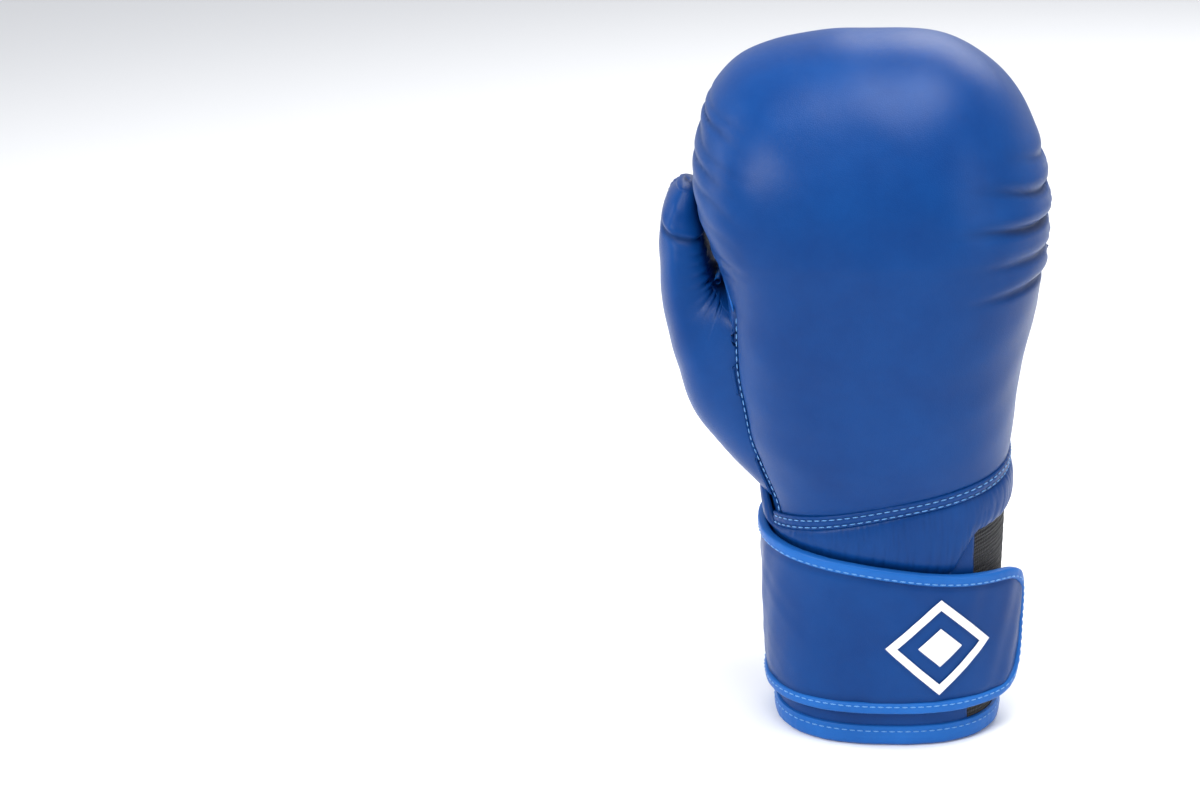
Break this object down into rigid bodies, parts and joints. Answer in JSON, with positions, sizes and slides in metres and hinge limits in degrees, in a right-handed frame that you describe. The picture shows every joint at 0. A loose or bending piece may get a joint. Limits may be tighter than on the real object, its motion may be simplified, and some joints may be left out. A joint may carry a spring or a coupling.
{
  "type": "boxing glove",
  "caption": "Right-hand training boxing glove with a padded fist, attached thumb, mesh palm and a hook-and-loop wrist strap.",
  "frame": {"origin": "middle of the wrist opening, on the cuff's foot plane", "axes": "+Z from the cuff to the knuckles, -Y the back of the hand, +X the little-finger side"},
  "size_m": [0.1578, 0.1328, 0.2899],
  "materials": {
    "leather": "semi-matt artificial leather, blue",
    "binding": "smooth edge binding, lighter blue",
    "mesh": "air mesh, bright blue",
    "foam": "moulded foam",
    "lining": "satin, dark grey",
    "elastic": "woven elastic, black",
    "fastener": "hook and loop, black",
    "emblem": "rubber print, white"
  },
  "bodies": {
    "hand": {"back_shell": "leather", "outer_foam": "foam", "inner_foam": "foam", "finger_lining": "lining", "hand_lining": "lining", "palm_mesh": "mesh", "palm_foam": "foam", "finger_pad": "mesh", "grip_bar": "lining", "wrist_seam_band": "leather", "wrist_roll": "leather", "wrist_roll_foam": "foam", "cuff_back_panel": "leather", "cuff_foam": "foam", "cuff_lining": "lining", "cuff_binding": "binding", "elastic_gusset": "elastic", "slit_binding": "binding", "loop_patch": "fastener", "strap_anchor": "leather", "anchor_edging": "binding", "thumb_shell": "leather", "thumb_inner_panel": "leather", "thumb_foam": "foam", "thumb_lining": "lining", "thumb_tether": "leather", "thumb_gusset": "leather", "crotch_binding": "binding"},
    "strap_root": {"strap_leather_panel": "leather", "strap_backing": "lining", "strap_edging": "binding"},
    "strap_tip": {"tip_leather_panel": "leather", "tip_backing": "lining", "tip_edging": "binding", "hook_patch": "fastener", "emblem": "emblem"}
  },
  "joints": [
    {"name": "strap_open", "type": "hinge", "parent": "hand", "child": "strap_root", "pos_m": [-0.0532, 0.0128, 0.052], "axis": [0, 0, -1], "range_deg": [0, 100]},
    {"name": "strap_peel", "type": "hinge", "parent": "strap_root", "child": "strap_tip", "pos_m": [-0.0158, -0.0452, 0.052], "axis": [0, 0, -1], "range_deg": [0, 70]}
  ]
}
